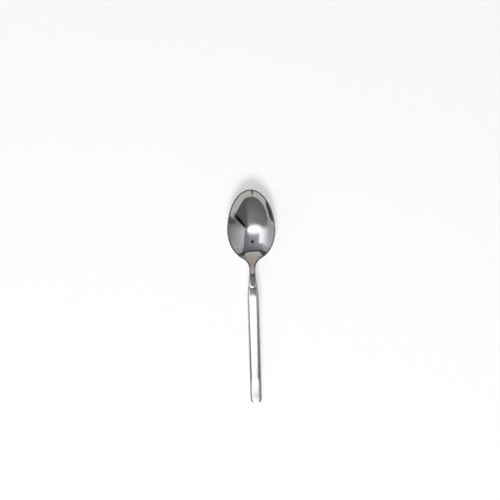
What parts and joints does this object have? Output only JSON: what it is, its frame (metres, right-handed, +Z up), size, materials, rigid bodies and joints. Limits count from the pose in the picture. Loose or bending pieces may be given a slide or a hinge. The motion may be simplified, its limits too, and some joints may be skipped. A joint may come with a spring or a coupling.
{
  "type": "teaspoon",
  "caption": "Polished steel teaspoon with an oval bowl, an arched neck, a joint line and a slim, straight, hollow handle with a squared end.",
  "frame": {"origin": "on the surface that the spoon lies on, under the middle of its box", "axes": "+Y along the spoon from the handle's end to the bowl's tip, +X across the bowl, +Z up, out of the bowl"},
  "size_m": [0.031, 0.138, 0.0128],
  "materials": {
    "polished_steel": "polished",
    "silver_braze": "polished",
    "cutlery_cement": "matte"
  },
  "bodies": {
    "root": {"bowl_head": "polished_steel", "joint_braze_ring": "silver_braze", "handle_front_shell": "polished_steel", "handle_back_shell": "polished_steel", "tang_cement": "cutlery_cement"}
  },
  "joints": []
}
